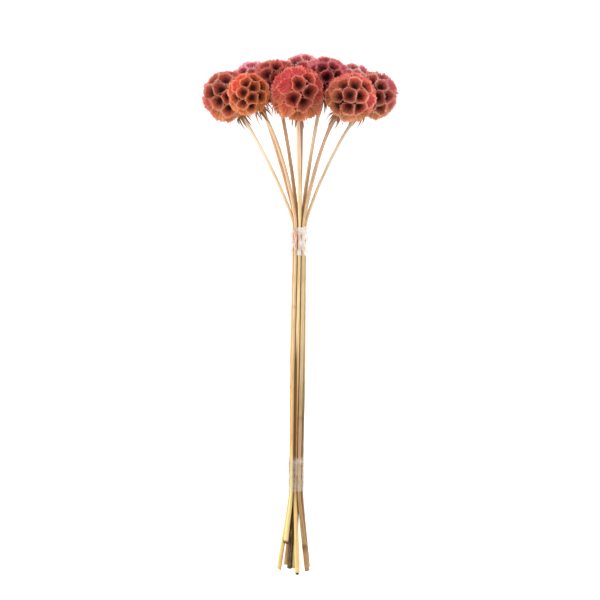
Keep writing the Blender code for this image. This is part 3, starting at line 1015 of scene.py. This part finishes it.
def bract_material():
    """Dry bracts: dark olive brown with paler edges and tips."""
    look = Look("dry_bracts")
    (along, edge, _, tone), _ = look.finish()
    blotches = look.noise(700.0, detail=3.0)
    stops = ((0.0, light(184, 144, 88)), (0.35, light(166, 118, 72)), (1.0, light(172, 116, 80)))
    color = look.ramp(along, *stops)
    darker = look.fade(tone, (0.5, 0.0), (0.95, 0.8))
    color = look.mix(darker, color, light(104, 66, 50))
    color = look.mix(look.math("MULTIPLY", edge, 0.35), color, light(214, 166, 110))
    spots = look.fade(blotches, (0.4, 0.0), (0.7, 0.45))
    color = look.mix(spots, color, light(104, 72, 48))
    normal = look.bump(blotches, 0.4, 0.3 * MM)
    roughness = look.fade(blotches, (0.3, 0.6), (0.7, 0.85))
    return look.covered_by(look.surface(color, roughness, normal))


def stem_material(name, low, tied, middle, high):
    """Straw: streaks, dark rings at joints, painted shade in the gaps between stems and down one side of a
    stem, and a pale cut face round a hollow painted dark as shade.
    """
    look = Look(name)
    (cosine, sine, along, dark_place), grain = look.finish()
    streaks = look.noise(2.2, detail=4.0, vector=grain, roughness=0.6)
    fine = look.noise(7.0, detail=3.0, vector=grain, roughness=0.6)
    place = look.math("DIVIDE", along, COLOR_STREAKS)
    stops = ((0.13, low), (0.20, tied), (0.30, tied), (0.48, middle), (0.68, middle), (0.85, high))
    color = look.ramp(place, *stops)
    dark = look.mix(1.0, color, (0.42, 0.30, 0.22, 1.0), "MULTIPLY")
    color = look.mix(look.fade(streaks, (0.50, 0.0), (0.72, 0.8)), color, dark)
    color = look.mix(look.fade(fine, (0.50, 0.0), (0.75, 0.5)), color, light(246, 226, 188))
    # The dark rings at joints are the straw's own; the darkening between stems and down one stem's side is
    # painted shade.
    joints_and_painted_shade = look.fade(dark_place, (0.10, 0.0), (0.65, 0.9))
    color = look.mix(joints_and_painted_shade, color, light(94, 46, 2))
    squares = [look.math("MULTIPLY", number, number) for number in (cosine, sine)]
    inside = look.math("SQRT", look.math("ADD", *squares))
    # The hollow inside the cut end is painted dark as shade; the cut face round it is pale straw.
    hollow_shade_stops = (0.35, light(44, 28, 20)), (0.50, light(70, 46, 30))
    pale_stops = (0.56, light(226, 206, 160)), (0.90, light(238, 222, 178))
    core = look.ramp(inside, *hollow_shade_stops, *pale_stops)
    color = look.mix(look.fade(inside, (0.93, 1.0), (0.985, 0.0)), color, core)
    roughness = look.fade(fine, (0.3, 0.45), (0.7, 0.7))
    normal = look.bump(fine, 0.35, 0.25 * MM)
    return look.covered_by(look.surface(color, roughness, normal, specular=0.25))


def film_material(tie):
    """Clear film, a little tinted, with painted glare that whitens it and makes it less clear in patches."""
    look = Look(f"clear_film_{tie.dye}")
    (glare, side, _, fine), _ = look.finish()
    glare = look.uneven(glare, look.noise(160.0), 0.4)
    # Painted glare: the film is whiter and less clear where the glare is high.
    color = look.ramp(glare, (0.35, light(*tie.tint)), (0.65, light(255, 251, 246)))
    edge = look.fade(side, (0.75, 0.0), (1.0, 0.25))
    patches = look.fade(glare, (0.38, 0.08), (0.74, 0.72))
    opacity = look.math("ADD", patches, edge, use_clamp=True)
    roughness = look.fade(fine, (0.3, 0.12), (0.7, 0.3))
    normal = look.bump(look.noise(500.0), 0.3, 0.3 * MM)
    return look.covered_by(look.surface(color, roughness, normal, specular=0.8, alpha=opacity))


# The screen colours of each dye. The throat, brown and inside colours are partly painted shade of the cups'
# deep insides, and the magenta and russet bases are dark partly as painted shade for heads that lie behind
# others.
PALETTES = {
    "rose": Palette(
        base=(250, 184, 138), middle=(234, 132, 116), top=(236, 122, 132), rim=(246, 196, 176),
        inside=(196, 118, 98), brown=(116, 58, 46), throat=(60, 22, 20),
    ),
    "orange": Palette(
        base=(250, 188, 112), middle=(244, 132, 82), top=(252, 108, 76), rim=(250, 204, 158),
        inside=(206, 132, 86), brown=(128, 68, 42), throat=(74, 30, 18),
    ),
    "coral": Palette(
        base=(252, 190, 126), middle=(242, 122, 106), top=(246, 112, 110), rim=(250, 194, 168),
        inside=(202, 120, 92), brown=(122, 60, 44), throat=(68, 26, 20),
    ),
    "magenta": Palette(
        base=(184, 72, 66), middle=(224, 98, 106), top=(254, 134, 164), rim=(240, 156, 160),
        inside=(172, 76, 78), brown=(96, 38, 38), throat=(60, 22, 22),
    ),
    "russet": Palette(
        base=(160, 64, 56), middle=(184, 80, 74), top=(200, 94, 90), rim=(190, 108, 98),
        inside=(138, 64, 56), brown=(76, 28, 28), throat=(56, 20, 20),
    ),
}

# How much stronger than its palette's a head's red, green and blue are.
HEAD_SHADES = {
    1: (1.0, 0.94, 0.85),
    2: (1.05, 0.95, 1.0),
    3: (0.97, 0.82, 0.85),
    4: (1.04, 1.08, 1.08),
    5: (1.0, 1.06, 1.08),
    6: (1.3, 1.72, 1.58),
    7: (1.5, 1.95, 1.85),
    8: (1.6, 2.0, 1.7),
    9: (0.92, 1.05, 0.92),
    10: (1.52, 1.65, 1.95),
}

# The screen colour of each stem: at its cut end, at the lower tie, in the middle and under the head.
STEM_COLORS = {
    1: ((240, 208, 136), (222, 182, 122), (236, 200, 150), (255, 236, 208)),
    2: ((254, 232, 158), (228, 184, 118), (240, 202, 156), (244, 212, 178)),
    3: ((250, 212, 136), (204, 160, 106), (254, 226, 168), (248, 210, 176)),
    4: ((178, 138, 88), (188, 152, 108), (230, 200, 150), (206, 166, 142)),
    5: ((170, 128, 84), (150, 124, 88), (248, 224, 180), (238, 218, 196)),
    6: ((214, 174, 128), (206, 162, 108), (206, 162, 108), (240, 190, 148)),
    7: ((84, 64, 34), (120, 84, 46), (160, 118, 74), (208, 168, 130)),
    8: ((92, 70, 44), (140, 104, 62), (170, 130, 84), (178, 146, 126)),
    9: ((190, 180, 116), (130, 104, 66), (150, 112, 68), (246, 216, 182)),
    10: ((150, 118, 78), (150, 116, 72), (180, 144, 98), (234, 198, 160)),
}


def make_floor():
    """A plain white table that glows a little, so that no hard shadow shows."""
    half = FLOOR_SIZE / 2
    mesh = bpy.data.meshes.new("floor")
    corners = [(-half, -half, 0), (half, -half, 0), (half, half, 0), (-half, half, 0)]
    mesh.from_pydata(corners, [], [(0, 1, 2, 3)])
    look = Look("floor_white")
    paper = look.node("BsdfDiffuse", {"Color": grey(FLOOR_WHITE)})
    glow = look.node("Emission", {"Color": grey(1.0), "Strength": FLOOR_GLOW})
    both = look.node("AddShader", {0: paper.outputs[0], 1: glow.outputs[0]})
    mesh.materials.append(look.covered_by(both.outputs[0]))
    floor = add_object(mesh)
    floor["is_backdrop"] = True


def make_world():
    """Even white light from all round."""
    world = bpy.data.worlds.new("studio")
    world.use_nodes = True
    background = world.node_tree.nodes["Background"]
    background.inputs["Color"].default_value = grey(1.0)
    background.inputs["Strength"].default_value = WORLD_LIGHT
    bpy.context.scene.world = world


def make_softbox(name, place, size, power):
    """A square soft light turned to the upper half of the bunch."""
    lamp = bpy.data.lights.new(name, "AREA")
    lamp.size = size
    lamp.energy = power
    box = add_object(lamp)
    box.location = place
    towards = LIT_PLACE - box.location
    box.rotation_euler = towards.to_track_quat("-Z", "Y").to_euler()


def make_camera():
    """Straight above the bunch, as the photo is taken."""
    camera = bpy.data.cameras.new("camera")
    camera.lens = CAMERA_LENS
    camera.clip_start = 0.01
    eye = add_object(camera)
    eye.location = CAMERA_PLACE
    bpy.context.scene.camera = eye


def main():
    make_camera()
    make_world()
    for lamp in LAMPS:
        make_softbox(*lamp)
    make_floor()
    bpy.context.scene.view_settings.view_transform = "Standard"
    bracts = bract_material()
    routes = {flower.number: stem_route(flower) for flower in FLOWERS}
    for flower in FLOWERS:
        palette = shaded(PALETTES[flower.tint], HEAD_SHADES[flower.number])
        make_head(flower, cup_material(f"cups_{flower.number:02d}", palette))
        make_bracts(flower, bracts)
        colors = [light(*color) for color in STEM_COLORS[flower.number]]
        make_stem(flower, routes, stem_material(f"straw_{flower.number:02d}", *colors))
    for tie in TIES:
        make_tie(tie)


main()
[[list(corner) for corner in box] for box in (CAD_BOX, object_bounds())]
